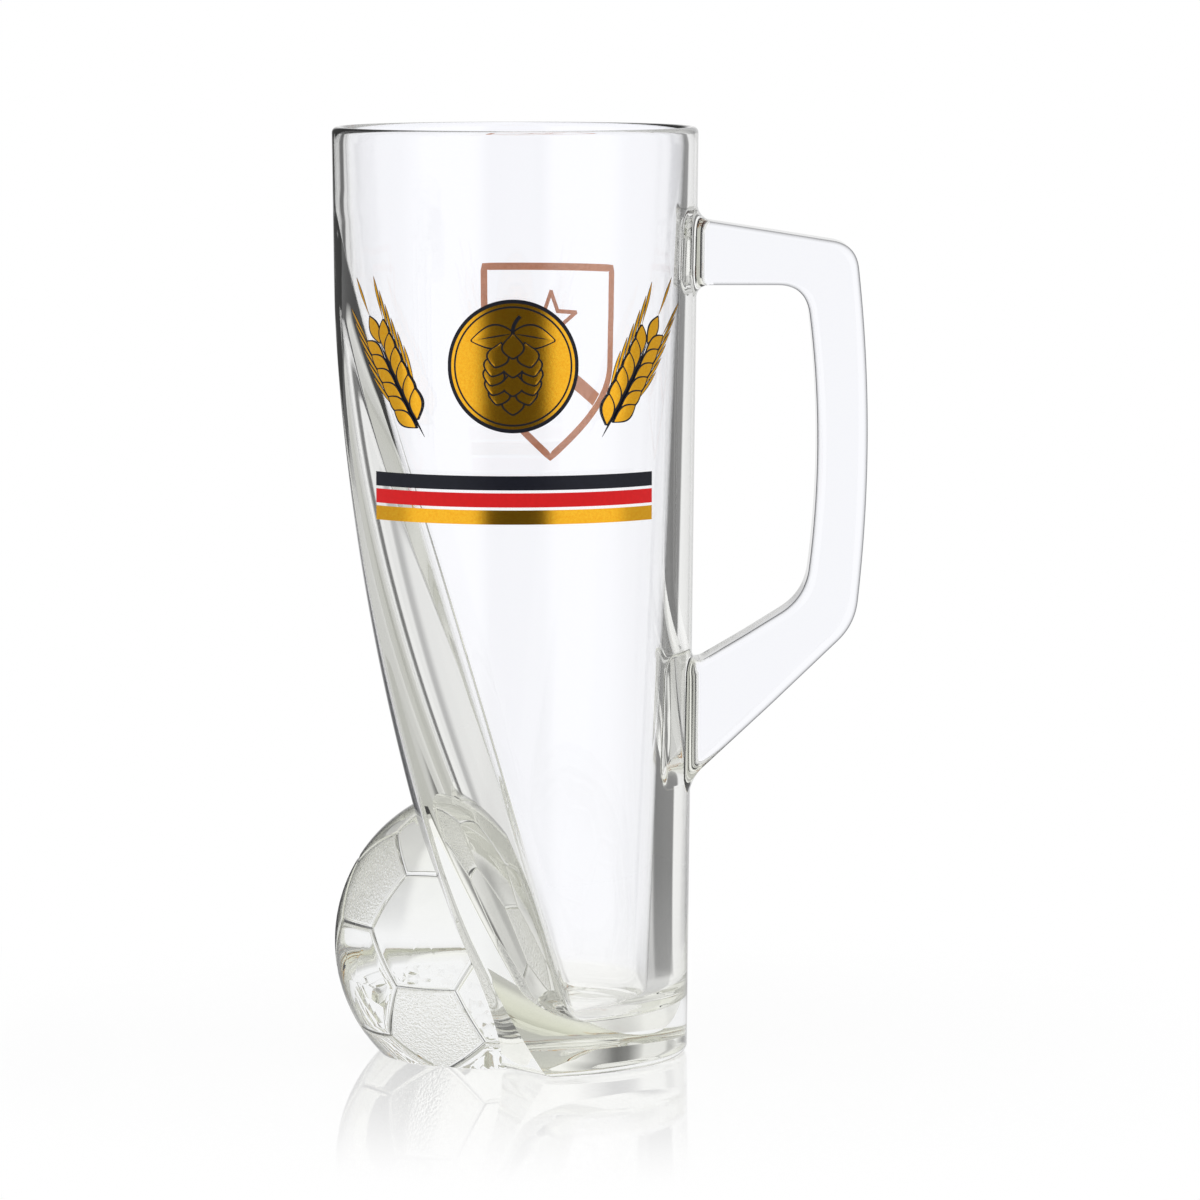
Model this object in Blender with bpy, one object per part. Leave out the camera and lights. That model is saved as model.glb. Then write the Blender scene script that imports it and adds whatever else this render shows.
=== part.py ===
"""Pressed-glass beer mug with a football at its foot.

A tapered round vessel is shaved on one side to a long curved face, a football is seated at
the foot of that face, and an angular handle with flared roots stands on the other side.
Thin layers of fired enamel decorate the front and the rear.

Metres, +Z up. The mug stands on Z = 0, the handle points to +X and the football to -X.
"""

import math

import bmesh
import bpy
from mathutils import Euler, Vector

MM = 0.001

# Vessel
MUG_HEIGHT = 200 * MM
RIM_RADIUS = 39.3 * MM
FOOT_RADIUS = 37 * MM
RIM_WALL = 2.6 * MM
FOOT_EDGE = 1.8 * MM
FLOOR_THICKNESS = 10 * MM
FLOOR_RADIUS = 28.4 * MM
FLOOR_FILLET = 6 * MM
STANDING_RIM = 8 * MM
RECESS_DEPTH = 1 * MM
RECESS_SLOPE = 6 * MM

# Shaved face: an arc in side view, slightly crowned in plan, with a softened crease that
# opens into a facet at the heel. The cavity follows it with a rounder face of its own.
FACE_BELOW_RIM = 15 * MM
FACE_ARC = 506 * MM
FACE_CROWN = 170 * MM
CAVITY_FACE_ARC = 470 * MM
CAVITY_CROWN = 40 * MM
CREASE_WIDTH = 2 * MM
HEEL_FACET_WIDTH = 10 * MM
HEEL_FACET_HEIGHT = 48 * MM

# Football
BALL_RADIUS = 34.3 * MM
BALL_CENTRE_HEIGHT = 24 * MM
BALL_SINK = 8 * MM
BALL_SPIN = -7
SEAM_WIDTH = 2.2 * MM
SEAM_DEPTH = 0.7 * MM

# Handle
HANDLE_REACH = 75.5 * MM
HANDLE_THICKNESS = 17 * MM
HANDLE_EDGE = 2.4 * MM
GRIP_WIDTH = 10.8 * MM
GRIP_BOW = 2.6 * MM
UPPER_ROOT_TOP = 180.4 * MM
UPPER_CORNER_TOP = 175 * MM
UPPER_ARM_UNDERSIDE = 166.3 * MM
LOWER_CORNER_INSIDE = 99.2 * MM
LOWER_CORNER_OUTSIDE = 93.4 * MM
LOWER_ROOT_TOP = 84.2 * MM
LOWER_ROOT_FOOT = 59.6 * MM
OUTER_CORNER_RADIUS = 5 * MM
INNER_CORNER_RADIUS = 6 * MM
ROOT_FILLET = 3 * MM

# Enamel prints
ENAMEL_THICKNESS = 0.3 * MM
MEDALLION_RADIUS = 14 * MM
MEDALLION_HEIGHT = 151 * MM
EAR_LENGTH = 30 * MM
EAR_WIDTH = 8 * MM
EAR_TILT = 32
EAR_OFFSET = 27 * MM
EAR_HEIGHT = 148 * MM
STRIPE_LENGTH = 66 * MM
STRIPE_WIDTH = 3 * MM
STRIPE_PITCH = 3.6 * MM
STRIPE_TOP_HEIGHT = 128 * MM
SHIELD_OFFSET = 8 * MM
SHIELD_HEIGHT = 146 * MM
SHIELD_WIDTH = 32 * MM
SHIELD_LENGTH = 42 * MM
SHIELD_SIDE = 21 * MM
SHIELD_LINE = 1.6 * MM

# Clearance between neighbouring pieces
FIT_GAP = 0.3 * MM

# Fineness of the facets
FACE_STEPS = 5
ARC_STEPS = 18
OUTER_LEVELS = 14
CAVITY_LEVELS = 12
ROUND_STEPS = 4
PANEL_CUTS = 3
FLAT_STEPS = 4
ARM_STEPS = 4
GRIP_STEPS = 8

# The mug's box is centred on the origin, so the vessel's axis lies off it
AXIS_X = (RIM_RADIUS - HANDLE_REACH) / 2


def clear_scene():
    for obj in list(bpy.data.objects):
        bpy.data.objects.remove(obj)


def material(name, colour, roughness, metallic=0.0, transmission=0.0):
    mat = bpy.data.materials.new(name)
    mat.use_nodes = True
    shader = mat.node_tree.nodes["Principled BSDF"]
    shader.inputs["Base Color"].default_value = (*colour, 1.0)
    shader.inputs["Roughness"].default_value = roughness
    shader.inputs["Metallic"].default_value = metallic
    shader.inputs["Transmission Weight"].default_value = transmission
    return mat


def add_object(name, bm, mat=None, sharp_angle=30):
    """Closes a bmesh into a named object with its faces pointing out."""
    bmesh.ops.recalc_face_normals(bm, faces=bm.faces)
    mesh = bpy.data.meshes.new(name)
    bm.to_mesh(mesh)
    bm.free()
    mesh.shade_smooth()
    mesh.set_sharp_from_angle(angle=math.radians(sharp_angle))
    obj = bpy.data.objects.new(name, mesh)
    bpy.context.collection.objects.link(obj)
    if mat is not None:
        mesh.materials.append(mat)
    return obj


def skin_rings(rings):
    """A closed skin over rings of points: neighbours are bridged, and the two ends are capped."""
    bm = bmesh.new()
    loops = [[bm.verts.new(point) for point in ring] for ring in rings]
    for lower, upper in zip(loops, loops[1:]):
        for i in range(len(lower)):
            j = (i + 1) % len(lower)
            bm.faces.new((lower[i], lower[j], upper[j], upper[i]))
    bm.faces.new(loops[0][::-1])
    bm.faces.new(loops[-1])
    return bm


def spread(start, end, steps):
    """Evenly spaced values from start to end, both included."""
    return [start + (end - start) * i / steps for i in range(steps + 1)]


def arc_inset(run, radius):
    """How far an arc has left its tangent after this run along it."""
    return radius - math.sqrt(radius**2 - run**2)


def outer_radius(z):
    return FOOT_RADIUS + (RIM_RADIUS - FOOT_RADIUS) * z / MUG_HEIGHT


def outer_keel(z):
    """Middle line of the shaved face, measured from the vessel's axis."""
    drop = max(0.0, MUG_HEIGHT - FACE_BELOW_RIM - z)
    return arc_inset(drop, FACE_ARC) - RIM_RADIUS


def cavity_radius(z):
    rise = (z - FLOOR_THICKNESS) / (MUG_HEIGHT - FLOOR_THICKNESS)
    return FLOOR_RADIUS + (RIM_RADIUS - RIM_WALL - FLOOR_RADIUS) * rise


def cavity_keel(z):
    """Middle line of the cavity's own shaved face, which starts at the rim."""
    return arc_inset(max(0.0, MUG_HEIGHT - z), CAVITY_FACE_ARC) - (RIM_RADIUS - RIM_WALL)


def crease_width(z):
    """Width of the strip that breaks the crease: narrow above, a broad facet at the heel."""
    share = max(0.0, 1 - max(z, 0.0) / HEEL_FACET_HEIGHT)
    return CREASE_WIDTH + HEEL_FACET_WIDTH * share**2


def plan_ring(z, radius, keel, crown, crease):
    """One level of the vessel: a round cut by a crowned face, with a strip along each crease."""
    centre = keel + crown
    corner_x = (radius**2 - crown**2 + centre**2) / (2 * centre)
    corner_y = math.sqrt(max(0.0, radius**2 - corner_x**2))
    corner_y = max(corner_y, 1.5 * crease)
    if corner_x <= -radius or corner_y <= 1.5 * crease:
        corner_x = -math.sqrt(radius**2 - corner_y**2)
    half = []
    for y in spread(0.0, corner_y - crease, FACE_STEPS):
        face_x = keel + arc_inset(y, crown)
        round_x = -math.sqrt(radius**2 - y**2)
        half.append((max(face_x, round_x), y))
    first_angle = math.atan2(corner_y, corner_x) - 0.4 * crease / radius
    for angle in spread(first_angle, 0.0, ARC_STEPS):
        half.append((radius * math.cos(angle), radius * math.sin(angle)))
    other = [(x, -y) for x, y in half[-2:0:-1]]
    return [Vector((AXIS_X + x, y, z)) for x, y in half + other]


def outer_ring(z, inset=0.0):
    return plan_ring(z, outer_radius(z) - inset, outer_keel(z) + inset, FACE_CROWN, crease_width(z))


def cavity_ring(z, inset=0.0):
    return plan_ring(z, cavity_radius(z) - inset, cavity_keel(z) + inset, CAVITY_CROWN, CREASE_WIDTH)


def quarter_turn():
    return spread(0.0, math.pi / 2, ROUND_STEPS)


def make_vessel(glass):
    """Vessel in one skin: up the outside from the recess in its foot, over the rim, down to the floor."""
    rings = [
        outer_ring(RECESS_DEPTH, STANDING_RIM + RECESS_SLOPE),
        outer_ring(0.0, STANDING_RIM),
    ]
    for turn in quarter_turn():
        ring = outer_ring(FOOT_EDGE * (1 - math.cos(turn)), FOOT_EDGE * (1 - math.sin(turn)))
        rings.append(ring)
    rim_round = RIM_WALL / 2
    for z in spread(FOOT_EDGE, MUG_HEIGHT - rim_round, OUTER_LEVELS)[1:]:
        rings.append(outer_ring(z))
    for turn in quarter_turn()[1:]:
        z = MUG_HEIGHT - rim_round * (1 - math.sin(turn))
        rings.append(outer_ring(z, rim_round * (1 - math.cos(turn))))
    for turn in quarter_turn()[-2::-1]:
        z = MUG_HEIGHT - rim_round * (1 - math.sin(turn))
        rings.append(cavity_ring(z, -rim_round * (1 - math.cos(turn))))
    for z in spread(MUG_HEIGHT - rim_round, FLOOR_THICKNESS + FLOOR_FILLET, CAVITY_LEVELS)[1:]:
        rings.append(cavity_ring(z))
    for turn in quarter_turn()[1:]:
        z = FLOOR_THICKNESS + FLOOR_FILLET * (1 - math.sin(turn))
        rings.append(cavity_ring(z, FLOOR_FILLET * (1 - math.cos(turn))))
    return add_object("vessel", skin_rings(rings), glass)


def make_seat_cutter():
    """The vessel's outside, grown by the clearance: what sits against the vessel is cut by it."""
    overrun = 5 * RIM_WALL
    rings = []
    for z in spread(-overrun, MUG_HEIGHT + overrun, OUTER_LEVELS):
        rings.append(outer_ring(z, -FIT_GAP))
    cutter = add_object("seat_cutter", skin_rings(rings))
    cutter.hide_render = True
    cutter.display_type = "WIRE"
    return cutter


def seat_against(obj, cutter):
    cut = obj.modifiers.new("seat", "BOOLEAN")
    cut.operation = "DIFFERENCE"
    cut.object = cutter
    cut.solver = "EXACT"


def make_ball(glass, cutter):
    """Football of 12 five-sided and 20 six-sided panels with sunk seams, cut flat where it stands
    and inside the heel, where the vessel takes over."""
    bm = bmesh.new()
    bmesh.ops.create_icosphere(bm, subdivisions=1, radius=BALL_RADIUS)
    bm.edges.ensure_lookup_table()
    panel_edge = bm.edges[0].calc_length() / 3
    bmesh.ops.bevel(bm, geom=bm.verts[:], offset=panel_edge, affect="VERTICES", segments=1)
    seam = bm.verts.layers.float.new("seam")
    for vert in bm.verts:
        vert[seam] = 1.0
    bmesh.ops.inset_individual(bm, faces=bm.faces[:], thickness=SEAM_WIDTH / 2, use_even_offset=True)
    panels = [face for face in bm.faces if len(face.verts) > 4]
    for vert in {vert for panel in panels for vert in panel.verts}:
        vert[seam] = 0.0
    for vert in bmesh.ops.poke(bm, faces=panels)["verts"]:
        vert[seam] = 0.0
    along = [edge for edge in bm.edges if edge.verts[0][seam] == edge.verts[1][seam]]
    bmesh.ops.subdivide_edges(bm, edges=along, cuts=PANEL_CUTS, use_grid_fill=True)
    turn = Euler((0, 0, math.radians(BALL_SPIN)))
    centre = Vector((AXIS_X + outer_keel(BALL_CENTRE_HEIGHT) + BALL_SINK, 0, BALL_CENTRE_HEIGHT))
    for vert in bm.verts:
        direction = vert.co.normalized()
        direction.rotate(turn)
        vert.co = centre + direction * (BALL_RADIUS - SEAM_DEPTH * vert[seam])
    heel = AXIS_X + outer_keel(0.0) + BALL_SINK
    for point, keep_side in (((0, 0, 0), (0, 0, 1)), ((heel, 0, 0), (-1, 0, 0))):
        everything = bm.verts[:] + bm.edges[:] + bm.faces[:]
        cut = bmesh.ops.bisect_plane(
            bm, geom=everything, plane_co=point, plane_no=keep_side, clear_inner=True
        )
        rim = [item for item in cut["geom_cut"] if isinstance(item, bmesh.types.BMEdge)]
        bmesh.ops.edgeloop_fill(bm, edges=rim)
    ball = add_object("ball", bm, glass)
    seat_against(ball, cutter)


def root_flare(distance):
    """How far the handle swells at this distance from the wall, as a round fillet does."""
    left = min(max(ROOT_FILLET - distance, 0.0), ROOT_FILLET)
    return ROOT_FILLET - math.sqrt(ROOT_FILLET**2 - left**2)


def arm_run(root_height, corner):
    """Stations (x, z, distance from the wall) of an arm's edge, from inside the wall to its corner."""
    wall = outer_radius(root_height)
    length = corner.x - wall
    distances = [-RIM_WALL / 2, 0.0] + [ROOT_FILLET * share**2 for share in (0.4, 0.7, 1.0)]
    distances += spread(ROOT_FILLET, length, ARM_STEPS)[1:]
    slope = (corner.y - root_height) / length
    return [(wall + d, root_height + slope * d, d) for d in distances]


def handle_edge(upper_root, upper_corner, lower_corner, lower_root, corner_radius):
    """One edge of the handle in side view: arm, round corner, bowed grip, round corner, arm."""

    def on_grip(t):
        bow = 4 * GRIP_BOW * t * (1 - t)
        return upper_corner.lerp(lower_corner, t) + Vector((bow, 0))

    def on_arm(root_height, corner):
        root = Vector((outer_radius(root_height), root_height))
        return corner + (root - corner).normalized() * corner_radius

    def corner_round(start, corner, end):
        points = []
        for t in spread(0.0, 1.0, ROUND_STEPS)[1:-1]:
            point = start.lerp(corner, t).lerp(corner.lerp(end, t), t)
            points.append((point.x, point.y, math.inf))
        return points

    share = corner_radius / (upper_corner - lower_corner).length
    upper_start = on_arm(upper_root, upper_corner)
    lower_start = on_arm(lower_root, lower_corner)
    stations = arm_run(upper_root, upper_start)
    stations += corner_round(upper_start, upper_corner, on_grip(share))
    for t in spread(share, 1 - share, GRIP_STEPS):
        point = on_grip(t)
        stations.append((point.x, point.y, math.inf))
    stations += corner_round(on_grip(1 - share), lower_corner, lower_start)
    return stations + arm_run(lower_root, lower_start)[::-1]


def handle_ring(outside, inside, distance):
    """A rounded oblong between the handle's two edges, grown all round and bent to the wall near a root."""
    edge = HANDLE_EDGE + root_flare(distance)
    middle = (outside + inside) / 2
    across = (outside - inside).normalized()
    half_height = (outside - inside).length / 2 - HANDLE_EDGE
    half_width = HANDLE_THICKNESS / 2 - HANDLE_EDGE
    wrap = max(0.0, 1 - distance / HANDLE_THICKNESS)
    section = []
    for sign in (1, -1):
        for turn in quarter_turn():
            section.append((half_height + edge * math.sin(turn), half_width + edge * math.cos(turn), sign))
        for width in spread(half_width, -half_width, FLAT_STEPS)[1:-1]:
            section.append((half_height + edge, width, sign))
        for turn in quarter_turn()[::-1]:
            section.append((half_height + edge * math.sin(turn), -half_width - edge * math.cos(turn), sign))
    ring = []
    for height, width, sign in section:
        point = middle + across * height * sign
        wall = outer_radius(point.y)
        bend = wall - math.sqrt(wall**2 - width**2)
        ring.append(Vector((AXIS_X + point.x - wrap * bend, width * sign, point.y)))
    return ring


def make_handle(glass, cutter):
    """Angular handle lofted between an outer and an inner edge, its roots flared onto the wall."""
    reach = HANDLE_REACH - GRIP_BOW
    outside = handle_edge(
        UPPER_ROOT_TOP,
        Vector((reach, UPPER_CORNER_TOP)),
        Vector((reach, LOWER_CORNER_OUTSIDE)),
        LOWER_ROOT_FOOT,
        OUTER_CORNER_RADIUS,
    )
    inside = handle_edge(
        UPPER_ARM_UNDERSIDE,
        Vector((reach - GRIP_WIDTH, UPPER_ARM_UNDERSIDE)),
        Vector((reach - GRIP_WIDTH, LOWER_CORNER_INSIDE)),
        LOWER_ROOT_TOP,
        INNER_CORNER_RADIUS,
    )
    rings = []
    for outer, inner in zip(outside, inside):
        rings.append(handle_ring(Vector(outer[:2]), Vector(inner[:2]), outer[2]))
    handle = add_object("handle", skin_rings(rings), glass)
    seat_against(handle, cutter)


def enamel_layer(name, place, columns, rows, mat, rear=False, endless=False):
    """A thin layer fired on the wall. place(u, v) gives its points as (along the wall, height)."""
    bm = bmesh.new()

    def wall_point(u, v, lift):
        along, height = place(u, v)
        radius = outer_radius(height) + FIT_GAP + lift
        angle = along / outer_radius(height)
        side = 1 if rear else -1
        return Vector((AXIS_X + radius * math.sin(angle), side * radius * math.cos(angle), height))

    column_values = spread(0.0, 1.0, columns)
    if endless:
        column_values = column_values[:-1]
    sheets = []
    for lift in (0.0, ENAMEL_THICKNESS):
        sheet = []
        for u in column_values:
            sheet.append([bm.verts.new(wall_point(u, v, lift)) for v in spread(0.0, 1.0, rows)])
        sheets.append(sheet)
    under, over = sheets
    for i in range(columns):
        j = (i + 1) % len(column_values)
        for k in range(rows):
            bm.faces.new((under[i][k], under[i][k + 1], under[j][k + 1], under[j][k]))
            bm.faces.new((over[i][k], over[j][k], over[j][k + 1], over[i][k + 1]))
        bm.faces.new((under[i][0], under[j][0], over[j][0], over[i][0]))
        bm.faces.new((under[i][rows], over[i][rows], over[j][rows], under[j][rows]))
    if not endless:
        for k in range(rows):
            bm.faces.new((under[0][k], over[0][k], over[0][k + 1], under[0][k + 1]))
            bm.faces.new((under[-1][k], under[-1][k + 1], over[-1][k + 1], over[-1][k]))
    add_object(name, bm, mat)


def make_front_enamel(gold, black, red):
    """Round medallion between two ears of barley, over three straight stripes."""

    def medallion(u, v):
        x = 2 * u - 1
        y = 2 * v - 1
        across = x * math.sqrt(1 - y * y / 2)
        up = y * math.sqrt(1 - x * x / 2)
        return MEDALLION_RADIUS * across, MEDALLION_HEIGHT + MEDALLION_RADIUS * up

    enamel_layer("front_medallion", medallion, 8, 8, gold)
    for name, side in (("front_ear_left", -1), ("front_ear_right", 1)):

        def ear(u, v):
            lengthwise = EAR_LENGTH * (u - 0.5)
            belly = math.sin(math.pi * (0.08 + 0.84 * u))
            sideways = EAR_WIDTH * (v - 0.5) * belly
            tilt = math.radians(EAR_TILT)
            outward = lengthwise * math.sin(tilt) + sideways * math.cos(tilt)
            up = lengthwise * math.cos(tilt) - sideways * math.sin(tilt)
            return side * (EAR_OFFSET + outward), EAR_HEIGHT + up

        enamel_layer(name, ear, 10, 3, gold)
    for number, (name, mat) in enumerate(
        (("front_stripe_black", black), ("front_stripe_red", red), ("front_stripe_gold", gold))
    ):

        def stripe(u, v):
            height = STRIPE_TOP_HEIGHT - number * STRIPE_PITCH - STRIPE_WIDTH * v
            return STRIPE_LENGTH * (u - 0.5), height

        enamel_layer(name, stripe, 16, 1, mat)


def make_rear_enamel(copper):
    """Outline of a plain shield, drawn as one closed line: a straight top, straight upper sides, and
    lower sides that swing in to a point."""
    top_share = 0.25

    def shield(u, v):
        half_width = SHIELD_WIDTH / 2 - SHIELD_LINE * v
        half_length = SHIELD_LENGTH / 2 - SHIELD_LINE * v
        if u < top_share:
            return SHIELD_OFFSET + half_width * (2 * u / top_share - 1), SHIELD_HEIGHT + half_length
        turn = 2 * (u - top_share) / (1 - top_share) - 1
        drop = 2 * half_length * (1 - abs(turn))
        swing = max(0.0, drop - SHIELD_SIDE) / (2 * half_length - SHIELD_SIDE)
        across = math.copysign(half_width * math.cos(math.pi / 2 * swing), -turn)
        return SHIELD_OFFSET + across, SHIELD_HEIGHT + half_length - drop

    enamel_layer("rear_shield", shield, 48, 1, copper, rear=True, endless=True)


def main():
    clear_scene()
    glass = material("clear pressed glass", (0.93, 0.95, 0.92), 0.02, transmission=1.0)
    gold = material("gold lustre enamel", (0.80, 0.47, 0.07), 0.25, metallic=1.0)
    copper = material("copper lustre enamel", (0.72, 0.33, 0.16), 0.25, metallic=1.0)
    black = material("black enamel", (0.01, 0.01, 0.015), 0.3)
    red = material("red enamel", (0.60, 0.02, 0.02), 0.3)
    cutter = make_seat_cutter()
    make_vessel(glass)
    make_ball(glass, cutter)
    make_handle(glass, cutter)
    make_front_enamel(gold, black, red)
    make_rear_enamel(copper)


main()
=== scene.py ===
import bmesh
import bpy
import numpy as np
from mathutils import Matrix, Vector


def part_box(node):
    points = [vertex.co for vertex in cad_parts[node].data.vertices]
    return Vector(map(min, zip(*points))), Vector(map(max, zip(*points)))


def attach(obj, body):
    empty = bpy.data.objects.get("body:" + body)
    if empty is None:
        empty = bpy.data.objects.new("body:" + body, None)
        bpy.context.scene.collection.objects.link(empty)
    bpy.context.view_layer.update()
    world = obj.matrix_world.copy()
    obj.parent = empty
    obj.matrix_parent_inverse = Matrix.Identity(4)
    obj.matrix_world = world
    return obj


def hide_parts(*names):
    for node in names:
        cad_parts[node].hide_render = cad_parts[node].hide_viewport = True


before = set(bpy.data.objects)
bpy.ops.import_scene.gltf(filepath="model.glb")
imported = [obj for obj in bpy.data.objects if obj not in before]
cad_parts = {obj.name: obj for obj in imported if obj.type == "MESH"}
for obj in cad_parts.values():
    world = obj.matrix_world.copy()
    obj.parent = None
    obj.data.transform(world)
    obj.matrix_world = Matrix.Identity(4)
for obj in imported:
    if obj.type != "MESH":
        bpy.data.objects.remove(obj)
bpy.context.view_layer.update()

# Vessel. Clear soda-lime glass, pressed in a mould: a tapered round wall, one side of it shaved
# to a long curved face, a thick floor and a shallow recess in the foot.
MM = 0.001
vessel_low, vessel_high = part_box("vessel")
MUG_HEIGHT = vessel_high[2]
RIM_RADIUS = (vessel_high[0] - vessel_low[0]) / 2
AXIS_X = vessel_low[0] + RIM_RADIUS
FOOT_RADIUS = 37 * MM
RIM_WALL = 2.6 * MM
FOOT_EDGE = 1.8 * MM
FLOOR_THICKNESS = 10 * MM
FLOOR_RADIUS = 28.4 * MM
FLOOR_FILLET = 6 * MM
STANDING_RIM = 8 * MM
RECESS_DEPTH = 1 * MM
RECESS_SLOPE = 6 * MM
FACE_BELOW_RIM = 15 * MM
FACE_ARC = 506 * MM
FACE_CROWN = 170 * MM
CAVITY_FACE_ARC = 555 * MM
CAVITY_FACE_LEAN = 0.03
CAVITY_CROWN = 43 * MM
CREASE_WIDTH = 2 * MM
HEEL_FACET_WIDTH = 10 * MM
HEEL_FACET_HEIGHT = 48 * MM
FACE_STEPS = 16
CREASE_STEPS = 12
ROUND_STEPS = 92
WALL_LEVELS = 90
WELL_LEVELS = 80
FILLET_LEVELS = 10


def arc_inset(run, radius):
    """How far an arc has left its tangent after a run: the radius less the root of the radius
    squared minus the run squared."""
    return radius - np.sqrt(radius**2 - run**2)


def outer_radius(z):
    """Straight taper from the foot's radius to the rim's."""
    return FOOT_RADIUS + (RIM_RADIUS - FOOT_RADIUS) * z / MUG_HEIGHT


def outer_keel(z):
    """Middle line of the shaved face, from the axis: an arc that leaves the wall below the rim."""
    return arc_inset(np.maximum(MUG_HEIGHT - FACE_BELOW_RIM - z, 0), FACE_ARC) - RIM_RADIUS


def cavity_radius(z):
    """Straight taper of the cavity from its floor to the rim."""
    rise = (z - FLOOR_THICKNESS) / (MUG_HEIGHT - FLOOR_THICKNESS)
    return FLOOR_RADIUS + (RIM_RADIUS - RIM_WALL - FLOOR_RADIUS) * rise


def cavity_keel(z):
    """Middle line of the cavity's shaved side, from the axis: an arc that leaves the wall at the rim,
    plus a straight lean, a small share of the run."""
    run = np.maximum(MUG_HEIGHT - z, 0)
    return CAVITY_FACE_LEAN * run + arc_inset(run, CAVITY_FACE_ARC) - (RIM_RADIUS - RIM_WALL)


def plan_rings(z, radius, keel, crown, crease, bluntness):
    """Rings of the vessel, one for each level. In plan each is a circle about the axis, cut by a
    crowned face whose middle lies at keel and whose half width is at least one and a half creases.
    The corner where they meet is replaced by a parabola, from a crease before it on the face to
    0.6 of a crease past it on the circle, drawn towards the corner and flattened by bluntness."""
    z, radius, keel, crease, bluntness = (
        np.broadcast_to(value, z.shape)[:, None] for value in (z, radius, keel, crease, bluntness)
    )
    centre = keel + crown
    corner_x = (radius**2 - crown**2 + centre**2) / (2 * centre)
    corner_y = np.sqrt(np.maximum(radius**2 - corner_x**2, 0))
    least_y = 1.5 * crease
    open_face = corner_y > least_y
    corner_y = np.where(open_face, corner_y, least_y)
    corner_x = np.where(open_face, corner_x, -np.sqrt(radius**2 - corner_y**2))
    y = np.linspace(0, 1, FACE_STEPS) * (corner_y - crease)
    face = np.stack([np.maximum(keel + arc_inset(y, crown), -np.sqrt(radius**2 - y**2)), y], -1)
    turn = np.arctan2(corner_y, corner_x) - 0.6 * crease / radius
    angle = turn * np.linspace(1, 0, ROUND_STEPS)
    arc = np.stack([radius * np.cos(angle), radius * np.sin(angle)], -1)
    start, end = face[:, -1:], arc[:, :1]
    corner = np.stack([corner_x, corner_y], -1)
    pull = corner + bluntness[..., None] * ((start + end) / 2 - corner)
    t = np.linspace(0, 1, CREASE_STEPS)[1:-1, None]
    strip = (1 - t) ** 2 * start + 2 * t * (1 - t) * pull + t**2 * end
    half = np.concatenate([face, strip, arc], 1)
    ring = np.concatenate([half, half[:, -2:0:-1] * [1, -1]], 1)
    height = np.broadcast_to(z, ring.shape[:2])
    return np.dstack([AXIS_X + ring[..., 0], ring[..., 1], height])


def vessel_rings():
    """The whole skin in one run of levels: recess, foot, outside wall, rim, cavity and floor. Edges
    are quarter circles, the recess rises as three squares less two cubes, and the crease opens
    towards the heel by the square of the height left under the facet's top."""
    quarter = np.linspace(0, np.pi / 2, FILLET_LEVELS)
    rim_round = RIM_WALL / 2

    def outside(z, inset=0.0):
        heel = np.clip(1 - z / HEEL_FACET_HEIGHT, 0, 1) ** 2
        crease = CREASE_WIDTH + HEEL_FACET_WIDTH * heel
        return plan_rings(z, outer_radius(z) - inset, outer_keel(z) + inset, FACE_CROWN, crease, heel**0.5)

    def cavity(z, inset=0.0):
        radius, keel = cavity_radius(z) - inset, cavity_keel(z) + inset
        return plan_rings(z, radius, keel, CAVITY_CROWN, CREASE_WIDTH, 0.0)

    inward = 1 - np.linspace(0, 1, FILLET_LEVELS)
    wall = np.linspace(FOOT_EDGE, MUG_HEIGHT - rim_round, WALL_LEVELS)[1:]
    well = np.linspace(MUG_HEIGHT - rim_round, FLOOR_THICKNESS + FLOOR_FILLET, WELL_LEVELS)[1:]
    rim_z = MUG_HEIGHT - rim_round * (1 - np.sin(quarter))
    rim_inset = rim_round * (1 - np.cos(quarter))
    floor_z = FLOOR_THICKNESS + FLOOR_FILLET * (1 - np.sin(quarter))
    return np.concatenate([
        outside(RECESS_DEPTH * (3 * inward**2 - 2 * inward**3), STANDING_RIM + RECESS_SLOPE * inward),
        outside(FOOT_EDGE * (1 - np.cos(quarter)), FOOT_EDGE * (1 - np.sin(quarter))),
        outside(wall),
        outside(rim_z, rim_inset)[1:],
        cavity(rim_z, -rim_inset)[-2::-1],
        cavity(well),
        cavity(floor_z, FLOOR_FILLET * (1 - np.cos(quarter)))[1:],
    ])


def ring_skin(name, rings):
    """An object over rings of points (levels, around, 3): neighbours joined by quads, ends capped."""
    levels, around, _ = rings.shape
    index = np.arange(levels * around).reshape(levels, around)
    beside = np.roll(index, -1, 1)
    quads = np.stack([index[:-1], beside[:-1], beside[1:], index[1:]], -1).reshape(-1, 4)
    faces = quads.tolist() + [index[0, ::-1].tolist(), index[-1].tolist()]
    mesh = bpy.data.meshes.new(name)
    mesh.from_pydata(rings.reshape(-1, 3).tolist(), [], faces)
    piece = bpy.data.objects.new(name, mesh)
    bpy.context.collection.objects.link(piece)
    return piece


glass_skin = ring_skin("mug_glass", vessel_rings()[:, ::-1])

# Football. Part of the same pressing, seated at the foot of the shaved face: a ball of 12
# five-sided and 20 six-sided panels with sunk seams, cut flat where it stands.
BALL_RADIUS = 34.3 * MM
BALL_CENTRE_HEIGHT = 24 * MM
BALL_SINK = 8 * MM
BALL_SPIN = np.radians(-7)
BALL_FOOT_LIFT = 0.03 * MM
SEAM_WIDTH = 1.6 * MM
SEAM_DEPTH = 0.45 * MM
PANEL_STEPS = 9
SEAM_STEPS = 7
SIDE_STEPS = 13
FIVE_SIDED = 12


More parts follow.
